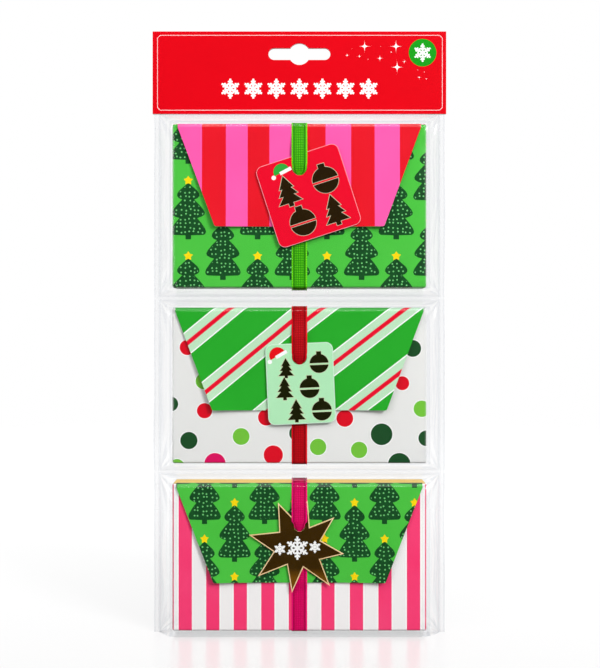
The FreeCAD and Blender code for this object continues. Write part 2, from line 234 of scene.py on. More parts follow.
def places_on(tree):
    """X, Y and Z of each point of a piece, in millimetres."""
    return [axis / MM for axis in parts_of(tree.nodes.new("ShaderNodeTexCoord").outputs["Object"])]


def facings_on(tree):
    """X, Y and Z of the way that each point of a piece faces."""
    return parts_of(tree.nodes.new("ShaderNodeTexCoord").outputs["Normal"])


def flat_vector(u, v):
    """A vector across and up a print, with nothing in its third part."""
    join = u.tree.nodes.new("ShaderNodeCombineXYZ")
    u.feed(join.inputs["X"])
    v.feed(join.inputs["Y"])
    return join.outputs[0]


def mottle(tree, patch):
    """Soft random patches, from 0 to 1, of about this size in millimetres."""
    cloud = tree.nodes.new("ShaderNodeTexNoise")
    cloud.inputs["Scale"].default_value = 1 / (patch * MM)
    cloud.inputs["Detail"].default_value = 3
    tree.links.new(tree.nodes.new("ShaderNodeTexCoord").outputs["Object"], cloud.inputs["Vector"])
    return Field(cloud.outputs["Fac"])


def paint(under, mask, over):
    """The colour over, laid on the colour under as far as the mask goes from 0 to 1."""
    blend = mask.tree.nodes.new("ShaderNodeMix")
    blend.data_type = "RGBA"
    mask.feed(blend.inputs[0])
    for entry, colour in ((blend.inputs[6], under), (blend.inputs[7], over)):
        if isinstance(colour, tuple):
            entry.default_value = colour
        else:
            mask.tree.links.new(colour, entry)
    return blend.outputs[2]


def emboss(height, depth, skin):
    """Raises the surface by depth, in millimetres, where the height is 1."""
    bump = height.tree.nodes.new("ShaderNodeBump")
    bump.inputs["Distance"].default_value = depth * MM
    height.feed(bump.inputs["Height"])
    height.tree.links.new(bump.outputs["Normal"], skin["Normal"])


def board_skin(tree, skin, colour, gloss, spread, shine=0.3):
    """Coated board: the print, a gloss that varies a little and the faint tooth of the paper."""
    tree.links.new(colour, skin["Base Color"])
    (mottle(tree, gloss_patch) * spread + (gloss - spread / 2)).feed(skin["Roughness"])
    skin["Specular IOR Level"].default_value = shine
    emboss(mottle(tree, tooth_patch), tooth_depth, skin)


def from_nearest(u, first, pitch):
    """Place beside the nearest line of a row of lines that stand a pitch apart."""
    return (u - first + pitch / 2) % pitch - pitch / 2


def nearest_arm(across, up, arms):
    """Place along and beside the nearest arm of a figure with that many arms, the first one upright."""
    reach = distance(across, up)
    turn = across.calc("ARCTAN2", up) * (arms / math.tau) + 0.5
    angle = abs(turn % 1.0 - 0.5) * (math.tau / arms)
    return reach * angle.calc("COSINE"), reach * angle.calc("SINE")


def star_mask(across, up, reach, arms, waist):
    """A star whose inner corners lie at that share of its reach."""
    along, beside = nearest_arm(across, up, arms)
    lean = waist * math.sin(math.pi / arms)
    return along * lean + beside * (1 - waist * math.cos(math.pi / arms)) < reach * lean


def fir_print(u, v, column, foot, pitch, period, drop, wide):
    """Dark firs with pale dots and a gold star on green; every other column lies lower by drop."""
    trunk = 2.1
    height = 28.4
    outline = (
        (0, 1.35), (2.05, 1.35), (2.15, 7.2), (2.7, 8.2), (3.8, 8.6), (5.2, 8.2), (8.0, 6.4),
        (10.6, 4.3), (11.2, 6.2), (12.2, 7.8), (13.4, 8.0), (14.8, 7.3), (17.4, 5.2), (19.8, 2.9),
        (20.4, 4.4), (21.6, 5.4), (22.8, 5.3), (24.2, 4.4), (27.2, 1.1), (28.2, 0),
    )
    widest = 9.0
    star_lift, star_reach, star_arms, star_waist = 0.9, 2.4, 5, 0.57
    dot_gap, dot_radius, dot_scatter, dot_margin = 2.2, 0.41, 0.45, 0.7
    tree = u.tree
    hue = paint(ink(68, 190, 58), mottle(tree, 28), ink(83, 200, 72))
    beads = tree.nodes.new("ShaderNodeTexVoronoi")
    beads.voronoi_dimensions = "2D"
    beads.inputs["Scale"].default_value = 1 / dot_gap
    beads.inputs["Randomness"].default_value = dot_scatter
    tree.links.new(flat_vector(u, v), beads.inputs["Vector"])
    dots = Field(beads.outputs["Distance"]) * dot_gap < dot_radius
    needles = paint(ink(26, 92, 40), mottle(tree, 3), ink(14, 58, 28))
    for middle, low in ((column, foot), (column + pitch, foot - drop)):
        across = from_nearest(u, middle, 2 * pitch) / wide
        level = (v - low + trunk) % period
        curve = tree.nodes.new("ShaderNodeFloatCurve")
        line = curve.mapping.curves[0]
        for point, (up, half) in zip(line.points, (outline[0], (height, 0))):
            point.location = (up / height, half / widest)
        for up, half in outline[1:]:
            line.points.new(up / height, half / widest)
        for point in line.points:
            point.handle_type = "VECTOR"
        curve.mapping.update()
        ((level / height) & 1.0).feed(curve.inputs["Value"])
        spare = Field(curve.outputs[0]) * widest - abs(across)
        inside = (spare > 0.0) & (level < height)
        hue = paint(hue, inside, needles)
        dotted = inside & dots & (spare > dot_margin) & (level > trunk + dot_margin)
        hue = paint(hue, dotted, ink(116, 208, 122))
        star = star_mask(across, level - height - star_lift, star_reach, star_arms, star_waist)
        hue = paint(hue, star, ink(254, 218, 6))
    return hue


def dot_print(u, v):
    """Scattered discs on an off-white ground, each with a thin white ring."""
    ring = 0.35
    red, lime, pine, rose = ink(222, 8, 34), ink(116, 196, 60), ink(30, 78, 40), ink(222, 14, 94)
    discs = (
        (-61, 83.8, 4.0, lime), (-42, 85.5, 5.3, rose), (-13, 89.8, 4.8, red), (49.7, 85.2, 5.6, pine),
        (-55, 97, 4.3, pine), (-29, 99, 4.2, lime), (9.3, 93.8, 4.1, lime), (29.7, 92.3, 4.1, lime),
        (40.9, 100.1, 5.4, pine), (63.1, 98.1, 3.9, pine), (-47.2, 111.8, 3.8, red),
        (-64, 115.2, 3.7, pine), (-16.5, 108.5, 4.1, red), (22.6, 108, 4.2, red),
        (60.9, 112.8, 4.1, lime), (3, 118, 4.6, rose), (-47.7, 126.5, 4.0, lime),
        (51.2, 125.5, 3.5, red), (-28, 128, 4.8, pine), (25, 130, 4.4, lime),
        (-10, 136, 4.0, red), (-55.8, 143.3, 3.8, red),
        (56.4, 142.8, 4.2, pine), (38, 140, 4.4, rose), (10, 148, 4.3, pine), (-34, 150, 4.2, lime),
        (-44, 162, 4.5, rose), (27, 157, 4.0, red), (-12, 160, 4.4, lime), (57, 160, 4.0, lime),
        (-1.0, 100.6, 4.1, pine),
    )
    hue = paint(ink(235, 235, 232), mottle(u.tree, 30), ink(230, 230, 227))
    spot = flat_vector(u, v)
    for across, up, radius, colour in discs:
        gap = u.tree.nodes.new("ShaderNodeVectorMath")
        gap.operation = "DISTANCE"
        u.tree.links.new(spot, gap.inputs[0])
        gap.inputs[1].default_value = (across, up, 0)
        away = Field(gap.outputs["Value"])
        hue = paint(hue, away < radius + ring, ink(255, 255, 254))
        hue = paint(hue, away < radius, colour)
    return hue


def candy_print(u, v):
    """Upright pink stripes with bright hairlines on off-white, wider apart right of the ribbon."""
    left_first, left_pitch = -15.7, 13.7
    right_first, right_pitch = 14.2, 14.2
    stripe = 6.6
    hairline = 0.7
    edge_stripe = 65.8
    away_left = abs(from_nearest(u, left_first, left_pitch))
    away_right = abs(from_nearest(u, right_first, right_pitch))
    left = u < 0.0
    away = (away_left * left + away_right * (1.0 - left)) & abs(abs(u) - edge_stripe)
    ground = paint(ink(252, 250, 249), mottle(u.tree, 30), ink(247, 245, 244))
    hue = paint(ground, away < stripe / 2 + hairline, ink(255, 254, 253))
    rose = paint(ink(253, 46, 108), mottle(u.tree, 26), ink(255, 78, 130))
    return paint(hue, away < stripe / 2, rose)


def carton_finish(place, picture, lid_hue, lid_metal):
    """The print wraps round the sides and over the lid; the inner faces stay bare white board."""
    material, tree, skin = new_finish(f"{place}_carton_print")
    low, high = (corner / MM for corner in cartons[place])
    x, y, z = places_on(tree)
    facing_x, _, facing_z = facings_on(tree)
    depth = y - low.y
    at_side = abs(facing_x) > square_on
    at_lid = abs(facing_z) > square_on
    u = x + at_side * x.calc("SIGN") * depth
    v = z + at_lid * facing_z.calc("SIGN") * depth
    hue = picture(u, v)
    lid = at_lid & (facing_z > 0.0)
    hue = paint(hue, lid, lid_hue)
    core = board / 2
    within = (abs(x) < high.x - core) & (y > low.y + core) & (y < high.y - core)
    inside = within & (z > low.z + core) & (z < high.z - core)
    hue = paint(hue, inside, ink(238, 236, 230))
    # Pale band at the side folds: partly board rubbed pale, partly a painted highlight of the rounded
    # fold edge.
    fold_wear_and_highlight = ((abs(x) - (high.x - fold_show)) * fold_ramp | 0.0) & 1.0
    hue = paint(hue, fold_wear_and_highlight * side_wear_and_highlight, ink(255, 255, 255))
    board_skin(tree, skin, hue, print_gloss, print_spread)
    if lid_metal:
        (lid * (1.0 - inside) * lid_metal).feed(skin["Metallic"])
        skin["Specular Tint"].default_value = lid_hue
    return material


def dress(node, material):
    """Puts a finish on a CAD node."""
    for slot in frame["nodes"][node].material_slots:
        slot.material = material


def carton_firs(u, v):
    """The firs at the size and spacing of the top carton."""
    return fir_print(u, v, column=-55.3, foot=199.2, pitch=17.25, period=37.6, drop=20.2, wide=1.03)


for place, picture, lid_hue, lid_metal in (
    ("top", carton_firs, ink(250, 90, 165), 0),
    ("middle", dot_print, ink(44, 172, 46), 0),
    ("bottom", candy_print, ink(255, 228, 160), 0.9),
):
    dress(f"{place}_carton", carton_finish(place, picture, lid_hue, lid_metal))


# Card inserts: a folded tray of white board in each carton, with four slits for the corners of a gift
# card. They are bare uncoated board, so they only get the fibres and the slight yellow of raw paper.
def plain_board(name, pale, deep, patch, gloss, spread):
    """Board without a print, in patches of two shades."""
    material, tree, skin = new_finish(name)
    board_skin(tree, skin, paint(pale, mottle(tree, patch), deep), gloss, spread)
    return material


insert_paper = plain_board(
    "insert_paper", ink(240, 238, 232), ink(229, 226, 217), patch=1.2, gloss=0.7, spread=0.15)
for place in PLACES:
    dress(f"{place}_card_insert", insert_paper)


# Flaps: the tapered front of each carton, one sheet of the same board that comes over a rounded crease
# at the head. The free lower corners stand a little off the carton, and the cut edges show the paper.
flap_gauge = 0.45 * MM
flap_head_halves = {"top": 60.5 * MM, "middle": 61.7 * MM, "bottom": 61.2 * MM}
flap_foot_halves = {"top": 42.0 * MM, "middle": 43.2 * MM, "bottom": 42.6 * MM}
flap_corner = 0.8 * MM
crease_radius = 2 * MM
crease_cover = 0.1 * MM
corner_lift = 1.7 * MM
lift_by_row, lift_by_side = 1.5, 3
# How pale the crease is painted: partly ink stretched at the fold, partly a painted highlight.
crease_wear_and_highlight = 0.05
crisp_angle = math.radians(40)
crease_rows = 8
flat_rows = 34
flap_columns = 44


def new_piece(name, shape, *materials):
    """A mesh object from a finished bmesh."""
    mesh = bpy.data.meshes.new(name)
    for face in shape.faces:
        face.smooth = True
    shape.to_mesh(mesh)
    shape.free()
    for material in materials:
        mesh.materials.append(material)
    piece = bpy.data.objects.new(name, mesh)
    scene.collection.objects.link(piece)
    return piece


def face_along_y(sheet, way):
    """Makes the faces of an open sheet agree, so that most of them look that way along Y."""
    bmesh.ops.recalc_face_normals(sheet, faces=sheet.faces)
    if sum(face.normal.y for face in sheet.faces) * way < 0:
        bmesh.ops.reverse_faces(sheet, faces=sheet.faces)


def thicken(piece, gauge, rim):
    """Gives a sheet its gauge on the inner side; its cut edges take the material with that index."""
    wall = piece.modifiers.new("gauge", "SOLIDIFY")
    wall.thickness = gauge
    wall.offset = -1
    wall.use_even_offset = True
    wall.material_offset_rim = rim
    solid = bpy.data.meshes.new_from_object(piece.evaluated_get(bpy.context.evaluated_depsgraph_get()))
    piece.modifiers.clear()
    piece.data = solid
    solid.name = piece.name
    solid.set_sharp_from_angle(angle=crisp_angle)


def lay_flat(piece, flatten):
    """Keeps each point's place on the sheet laid flat, in millimetres, so that a print bends with it."""
    table = piece.data.attributes.new("flat_place", "FLOAT_VECTOR", "POINT")
    for vertex, entry in zip(piece.data.vertices, table.data):
        entry.vector = flatten(vertex.co) / MM


def flat_places_on(tree):
    """Place across and along a sheet laid flat, in millimetres."""
    sheet = tree.nodes.new("ShaderNodeAttribute")
    sheet.attribute_name = "flat_place"
    return parts_of(sheet.outputs["Vector"])[:2]


def stripe_print(u, v):
    """Broad upright red stripes on pink, not quite even."""
    stripes = ((-48.4, -36.5), (-25.7, -14.9), (0.3, 13.0), (25.7, 37.4), (49.9, 64.0))
    hue = paint(ink(255, 98, 178), mottle(u.tree, 26), ink(255, 82, 164))
    red = paint(ink(236, 20, 40), mottle(u.tree, 26), ink(224, 8, 28))
    for left, right in stripes:
        hue = paint(hue, abs(u - (left + right) / 2) < (right - left) / 2, red)
    return hue


def band_print(u, v):
    """Green with slanting bands: mint with a red line in the middle and a white line at each edge."""
    left_of_ribbon = (39.5, (147.6, 123.05, 96.2))
    right_of_ribbon = (37.6, (122.2, 96.7, 73.1))
    band, edge_line, red_line = 10.3, 0.6, 2.1
    far = 1000.0
    hue = paint(ink(32, 164, 36), mottle(u.tree, 26), ink(42, 174, 44))
    away = u * 0.0 + far
    for (slant, centres), here in ((left_of_ribbon, u < 0.0), (right_of_ribbon, u > 0.0)):
        rise = v * math.cos(math.radians(slant)) - u * math.sin(math.radians(slant)) + (1.0 - here) * far
        for centre in centres:
            away = away & abs(rise - centre)
    hue = paint(hue, away < band / 2, ink(248, 251, 248))
    hue = paint(hue, away < band / 2 - edge_line, ink(190, 229, 192))
    return paint(hue, away < red_line / 2, ink(234, 0, 42))


def flap_firs(u, v):
    """The firs at the size and spacing of the bottom flap."""
    return fir_print(u, v, column=-47.1, foot=57.7, pitch=14.9, period=36.7, drop=18.7, wide=0.94)


flap_prints = {"top": stripe_print, "middle": band_print, "bottom": flap_firs}
board_core = plain_board(
    "board_core", ink(244, 240, 234), ink(226, 220, 212), patch=0.6, gloss=0.75, spread=0.1)
for place in PLACES:
    low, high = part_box(f"{place}_flap")
    front = low.y
    head = cartons[place][1].z + crease_cover
    bend = head - crease_radius
    head_half, foot_half = flap_head_halves[place], flap_foot_halves[place]
    foot = low.z

    def flap_point(side, row):
        """Place on the flap's outer face; side runs from -1 to 1 and row down from the crease."""
        if row <= crease_rows:
            angle = row / crease_rows * math.pi / 2
            y = front + crease_radius * (1 - math.sin(angle))
            return Vector((side * head_half, y, bend + crease_radius * math.cos(angle)))
        share = (row - crease_rows) / flat_rows
        half = head_half + (foot_half - head_half) * share
        lift = corner_lift * share ** lift_by_row * abs(side) ** lift_by_side
        return Vector((side * half, front - lift, bend + (foot - bend) * share))

    def flap_flat(spot):
        """Place of a point on the flap laid flat, with the crease unrolled."""
        over = max(0, min(1, (spot.z - bend) / crease_radius))
        return Vector((spot.x, min(spot.z, bend) + crease_radius * math.asin(over), 0))

    sheet = bmesh.new()
    rows = crease_rows + flat_rows
    bmesh.ops.create_grid(sheet, x_segments=flap_columns, y_segments=rows, size=0.5)
    for vertex in sheet.verts:
        vertex.co = flap_point(2 * vertex.co.x, round((0.5 - vertex.co.y) * rows))
    corners = [v for v in sheet.verts if len(v.link_edges) == 2 and v.co.z < bend]
    bmesh.ops.bevel(
        sheet, geom=corners, offset=flap_corner, segments=4, profile=0.5, material=-1, affect="VERTICES")
    face_along_y(sheet, -1)
    material, tree, skin = new_finish(f"{place}_flap_print")
    u, v = flat_places_on(tree)
    # Pale band along the crease: partly ink stretched pale over the fold, partly a painted highlight of
    # the rounded crease.
    fold_wear_and_highlight = ((v - bend / MM) * fold_ramp | 0.0) & 1.0
    hue = paint(flap_prints[place](u, v), fold_wear_and_highlight * crease_wear_and_highlight, ink(255, 255, 255))
    board_skin(tree, skin, hue, print_gloss, print_spread)
    flap = new_piece(f"{place}_flap_sheet", sheet, material, board_core)
    lay_flat(flap, flap_flat)
    thicken(flap, flap_gauge, 1)
    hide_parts(f"{place}_flap")
    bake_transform(flap)


# Ribbons: woven satin tape with corded edges, one round each carton. The front run comes over the crease
# and the head of the tag, in through the tag's hole and down behind it to the foot of the carton, where
# a glue dot holds it; the back run goes over the lid, down the back and under the foot.
ribbon_half = 3.88 * MM
ribbon_gauge = 0.3 * MM
ribbon_step = 0.5 * MM
ribbon_cells = 20
corner_ease = 1.5 * MM
cord_rise, cord_middle, cord_reach = 0.09 * MM, 0.86, 0.14
edge_drop, edge_turn = 0.25 * MM, 8
edge_curl = 0.8 * MM
cord_width = 0.9
weave_pitch = 0.86
groove_gap, groove_half, groove_depth = 0.2, 0.28, 0.8
stitch_shade, stitch_gap = 0.35, 0.35
weave_relief = 0.09
thread_gain, thread_least, cord_bead = 1.3, 0.3, 0.6
weave_rough, thread_polish = 0.5, 0.18
hole_halves = {"top": 3.6 * MM, "middle": 3.6 * MM, "bottom": 2.65 * MM}
squeeze_run = 2.6 * MM
neck_share = 0.45
snug_gap = 0.05 * MM
loose_gap = 0.1 * MM
join_depth = 2.5 * MM
tag_head_rise, tag_head_run = 9.5 * MM, 8 * MM
hole_brim, hole_back = 0.6 * MM, 0.25 * MM
settle_run = 4 * MM
flap_foot_gap, flap_foot_run = 0.3 * MM, 3.5 * MM
tag_boxes = {place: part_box(f"{place}_tag") for place in PLACES}
hinges = {joint["name"]: joint for joint in frame["joints"]}


def eased_line(corners):
    """Points at even steps along a bent line, with its corners eased."""
    dense = []
    for here, there in zip(corners, corners[1:]):
        count = max(1, round((there - here).length / ribbon_step))
        dense += [here.lerp(there, step / count) for step in range(count)]
    dense.append(corners[-1])
    eased = []
    for place_on_line in range(len(dense)):
        span = min(round(corner_ease / ribbon_step), place_on_line, len(dense) - 1 - place_on_line)
        near = dense[place_on_line - span:place_on_line + span + 1]
        eased.append(sum(near, Vector((0, 0))) / len(near))
    return eased


def ribbon_strip(name, corners, half_at, material):
    """A ribbon along a line in the YZ plane, corded at its edges and as wide as half_at says."""
    line = eased_line([Vector(corner) for corner in corners])
    rows = len(line) - 1
    strip = bmesh.new()
    bmesh.ops.create_grid(strip, x_segments=ribbon_cells, y_segments=rows, size=0.5)
    lengths = [0]
    for here, there in zip(line, line[1:]):
        lengths.append(lengths[-1] + (there - here).length)
    flat_layer = strip.verts.layers.float_vector.new("flat_place")
    for vertex in strip.verts:
        row = round((0.5 - vertex.co.y) * rows)
        side = 2 * vertex.co.x
        tangent = (line[min(row + 1, rows)] - line[max(row - 1, 0)]).normalized()
        outward = Vector((tangent.y, -tangent.x))
        half = half_at(line[row])
        curl = 1 - half / ribbon_half
        from_cord = min(1, abs(abs(side) - cord_middle) / cord_reach)
        ridge = cord_rise * math.cos(from_cord * math.pi) - edge_drop * abs(side) ** edge_turn
        spot = line[row] + outward * (ridge - curl * edge_curl * side ** 2)
        vertex[flat_layer] = Vector((side * ribbon_half, lengths[row], 0)) / MM
        vertex.co = (side * half, spot.x, spot.y)
    bmesh.ops.recalc_face_normals(strip, faces=strip.faces)
    middle = len(line) // 2
    tangent = line[middle + 1] - line[middle]
    face = min(strip.faces, key=lambda f: (f.calc_center_median().yz - line[middle]).length)
    if face.normal.yz.dot(Vector((tangent.y, -tangent.x))) < 0:
        bmesh.ops.reverse_faces(strip, faces=strip.faces)
    ribbon = new_piece(name, strip, material)
    thicken(ribbon, ribbon_gauge, 0)
    return ribbon


def woven(name, base, bright, dark):
    """Warp and weft in a fine grid, with a bright beaded cord and a stitched groove at each edge."""
    material, tree, skin = new_finish(name)
    u, v = flat_places_on(tree)
    half = ribbon_half / MM
    warp = (u * (math.tau / weave_pitch)).calc("COSINE") * 0.5 + 0.5
    weft = (v * (math.tau / weave_pitch)).calc("COSINE") * 0.5 + 0.5
    at_cord = abs(u) > half - cord_width
    groove = abs(abs(u) - (half - cord_width - groove_gap)) < groove_half
    stitch = groove & (weft > stitch_gap)
    thread = (warp * weft) * (1.0 - at_cord) + (weft * cord_bead + (1 - cord_bead)) * at_cord
    hue = paint(dark, (thread * thread_gain + thread_least) & 1.0, base)
    hue = paint(hue, thread * thread, bright)
    hue = paint(hue, stitch, tuple(part * stitch_shade for part in dark))
    tree.links.new(hue, skin["Base Color"])
    skin["Sheen Weight"].default_value = 0.03
    skin["Sheen Roughness"].default_value = 0.4
    skin["Sheen Tint"].default_value = bright
    skin["Specular IOR Level"].default_value = 0.08
    (thread * -thread_polish + weave_rough).feed(skin["Roughness"])
    emboss(thread - groove * groove_depth, weave_relief, skin)
    return material


ribbon_weaves = {
    "top": ("green", woven("ribbon_green", ink(60, 188, 6), ink(122, 236, 26), ink(14, 98, 0))),
    "middle": ("crimson", woven("ribbon_crimson", ink(194, 0, 14), ink(246, 2, 30), ink(112, 0, 6))),
    "bottom": ("magenta", woven("ribbon_magenta", ink(236, 0, 98), ink(255, 16, 130), ink(166, 0, 64))),
}
for place in PLACES:
    low, high = cartons[place]
    flap_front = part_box(f"{place}_flap")[0]
    hole = Vector(hinges[f"{place}_tag_swing"]["pos_m"])
    colour, weave = ribbon_weaves[place]
    tag_front, tag_back = tag_boxes[place][0].y, tag_boxes[place][1].y
    lid = high.z + crease_cover + snug_gap
    sole = low.z - snug_gap
    rear = high.y + snug_gap
    over_flap = flap_front.y - ribbon_gauge - snug_gap
    over_tag = tag_front - ribbon_gauge - loose_gap
    over_carton = low.y - loose_gap - ribbon_gauge
    hole_half = hole_halves[place]
    tag_head = hole.z + tag_head_rise
    hole_foot = hole.z - hole_half
    join = low.y + join_depth

    def squeezed(spot):
        """Narrows to the round hole on the way in, and opens out again behind the tag."""
        away = spot.y - hole.z
        if away > 0:
            share = min(1, away / squeeze_run)
            return hole_half + (ribbon_half - hole_half) * share * share * (3 - 2 * share)
        sink = min(1, -away / hole_half)
        neck = hole_half * max(neck_share, math.sqrt(1 - sink ** 2))
        opened = max(0, min(1, (-away - hole_half) / squeeze_run))
        return neck + (ribbon_half - neck) * opened

    front_line = (
        (join, lid + ribbon_gauge), (over_flap, lid + ribbon_gauge),
        (over_flap, tag_head + tag_head_run), (over_tag, tag_head),
        (over_tag, hole.z + hole_brim), (tag_back + hole_back, hole_foot),
        (over_flap, hole_foot - settle_run), (over_flap, flap_front.z - flap_foot_gap),
        (over_carton, flap_front.z - flap_foot_run), (over_carton, sole - ribbon_gauge),
        (join, sole - ribbon_gauge),
    )
    back_line = (
        (join, lid + ribbon_gauge), (rear + ribbon_gauge, lid + ribbon_gauge),
        (rear + ribbon_gauge, sole - ribbon_gauge), (join, sole - ribbon_gauge),
    )
    front_run = ribbon_strip(f"{place}_ribbon_front_run", front_line, squeezed, weave)
    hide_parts(f"{place}_ribbon")
    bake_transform(front_run)
    back_run = ribbon_strip(f"{place}_ribbon_back_run", back_line, lambda spot: ribbon_half, weave)
    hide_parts(f"{place}_ribbon_back")
    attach(back_run, "pack")

glue, glue_tree, glue_skin = new_finish("glue")
glue_hue = paint(ink(226, 214, 178), mottle(glue_tree, 1.5), ink(240, 232, 206))
glue_tree.links.new(glue_hue, glue_skin["Base Color"])
glue_skin["Roughness"].default_value = 0.25
emboss(mottle(glue_tree, 0.9), 0.08, glue_skin)
dress("ribbon_dots", glue)


# Gift tags: stiff card with a hole that the ribbon goes through. Two are rounded oblongs with a small
# hat printed beside stamped figures of dark foil, the third is an uneven star faced with dark gold
# foil. All are die cut and show a pale rim.
tag_corner = 3.5 * MM
tag_bevel = 0.07 * MM
tag_rims = {"top": 0.25 * MM, "middle": 0.35 * MM, "bottom": 0.5 * MM}
tag_sizes = {"top": (42.7, 42.0, 6.4), "middle": (33.5, 40.0, 6.8)}
tag_tilts = {"top": 18.0, "middle": 2.5, "bottom": 0.0}
tag_holes = {"top": 3.8, "middle": 3.8, "bottom": 2.8}
tag_edge_angle, tag_edge_on = 1.0, 0.5
tag_crisp_angle = math.radians(35)
halo_width = 0.22
star_hang, star_shift = 10.4, -1.0
star_tips = (
    (12.4, 23.8, 11.6), (51.3, 23.5, 12.0), (98.4, 23.4, 12.9), (140.0, 25.2, 10.5),
    (186.8, 22.9, 10.2), (233.4, 24.5, 12.0), (284.0, 24.8, 11.7), (336.3, 24.0, 13.5),
)


def tag_outline(shape, place):
    """The edge of the tag in its own plane, with the hole's middle at zero."""
    if place == "bottom":
        corners = 2 * len(star_tips)
        ring = bmesh.ops.create_circle(shape, cap_ends=False, segments=corners, radius=1)["verts"]
        turns = [turn for turn, tip, notch in star_tips]
        turns.append(turns[0] + 360)
        for step, (turn, tip, notch) in enumerate(star_tips):
            tip_and_notch = ((turn, tip), ((turn + turns[step + 1]) / 2, notch))
            for vertex, (angle, reach) in zip(ring[2 * step:], tip_and_notch):
                angle = math.radians(angle)
                across = reach * math.sin(angle) + star_shift
                vertex.co = Vector((across, reach * math.cos(angle) - star_hang, 0)) * MM
        return
    wide, tall, margin = tag_sizes[place]
    corners = []
    for across, up in ((-1, 0), (1, 0), (1, 1), (-1, 1)):
        corners.append(shape.verts.new(Vector((across * wide / 2, margin - tall * up, 0)) * MM))
    shape.faces.new(corners)
    bmesh.ops.bevel(
        shape, geom=corners, offset=tag_corner, segments=7, profile=0.5, material=-1, affect="VERTICES")
    bmesh.ops.delete(shape, geom=shape.faces, context="FACES_ONLY")


def tag_plate(place, hole, back, front, face_finish, rim_finish):
    """The outline and the hole filled, rimmed, raised to the card's gauge and hung at its tilt."""
    shape = bmesh.new()
    tag_outline(shape, place)
    bmesh.ops.create_circle(shape, cap_ends=False, segments=40, radius=tag_holes[place] * MM)
    bmesh.ops.triangle_fill(shape, edges=shape.edges, use_beauty=True, normal=(0, 0, 1))
    faces = shape.faces[:]
    bmesh.ops.recalc_face_normals(shape, faces=faces)
    if faces[0].normal.z < 0:
        bmesh.ops.reverse_faces(shape, faces=faces)
    rim = bmesh.ops.inset_region(
        shape, faces=faces, thickness=tag_rims[place], use_boundary=True, use_even_offset=True)
    for face in rim["faces"]:
        at_hole = face.calc_center_median().length < tag_holes[place] * MM + tag_rims[place]
        face.material_index = 0 if at_hole else 1
    top = shape.faces[:]
    base = bmesh.ops.extrude_face_region(shape, geom=top)
    lifted = [item for item in base["geom"] if isinstance(item, bmesh.types.BMVert)]
    bmesh.ops.translate(shape, verts=lifted, vec=(0, 0, back - front))
    bmesh.ops.recalc_face_normals(shape, faces=shape.faces)
    edge = [e for e in shape.edges if len(e.link_faces) == 2 and e.calc_face_angle() > tag_edge_angle]
    for face in shape.faces:
        if abs(face.normal.z) < tag_edge_on:
            face.material_index = 1
    bmesh.ops.bevel(
        shape, geom=edge, offset=tag_bevel, segments=2, profile=0.5, material=-1, affect="EDGES")
    tilt = math.radians(tag_tilts[place])
    stand = Matrix.Translation((0, back, hole.z)) @ Matrix.Rotation(math.pi / 2, 4, "X")
    bmesh.ops.transform(shape, verts=shape.verts, matrix=stand @ Matrix.Rotation(tilt, 4, "Z"))
    return new_piece(f"{place}_tag_card", shape, face_finish, rim_finish)


def turned(across, up, tilt):
    """The same place on axes that are tilted by that many degrees."""
    turn = math.radians(tilt)
    return across * math.cos(turn) + up * math.sin(turn), up * math.cos(turn) - across * math.sin(turn)


def snowflake(across, up, reach, line):
    """Six arms, each with two pairs of side twigs, as the depth of a place in the figure."""
    twig_shares = ((0.36, 0.30), (0.62, 0.26))
    twig_line = line * 0.85
    lean_along, lean_aside = 0.5, 0.866
    along, beside = nearest_arm(across, up, 6)
    depth = (line - beside) & (reach - along)
    for start_share, length_share in twig_shares:
        from_root = along - reach * start_share
        outward = from_root * lean_along + beside * lean_aside
        aside = abs(from_root * lean_aside - beside * lean_along)
        depth = depth | ((twig_line - aside) & (reach * length_share - outward) & outward)
    return depth


def bauble(across, up, radius):
    """A ball with a cap and a pale belt, as the depth of a place in the figure."""
    belt_drop, belt_half = radius * 0.05, radius * 0.1
    cap_half, cap_rise, cap_lift = radius * 0.26, radius * 0.2, radius * 1.08
    ball = radius - distance(across, up)
    belt = abs(up + belt_drop) - belt_half
    cap = (cap_half - abs(across)) & (cap_rise - abs(up - cap_lift))
    return (ball & belt) | cap


def small_fir(across, up, tall):
    """Three stacked tiers on a trunk, as the depth of a place in the figure."""
    trunk_half, trunk_drop = tall * 0.08, tall * 0.5
    tier_shares = ((-0.38, 0.08, 0.40), (-0.12, 0.32, 0.32), (0.12, 0.54, 0.24))
    slant = 0.7
    depth = (trunk_half - abs(across)) & (up + trunk_drop) & (up * -1.0)
    for low, high, half in tier_shares:
        tier = (tall * high - up) * (half / (high - low)) - abs(across)
        depth = depth | (tier * slant & (up - tall * low))
    return depth


def hat_print(hue, across, up, lean, felt):
    """A small hat with a domed crown, a white band and a white pompom."""
    crown_radius, crown_foot = 4.1, -0.3
    band_side, band_half, band_drop, band_rise = 1.9, 3.1, 0.5, 0.85
    pompom_side, pompom_drop, pompom_radius = 4.9, 0.8, 1.1
    side, rise = turned(across, up, lean)
    crown = (distance(side, rise) < crown_radius) & (rise > crown_foot)
    band = (abs(side - band_side) < band_half) & (abs(rise + band_drop) < band_rise)
    pompom = distance(side + pompom_side, rise + pompom_drop) < pompom_radius
    return paint(paint(hue, crown, felt), band | pompom, ink(250, 248, 248))


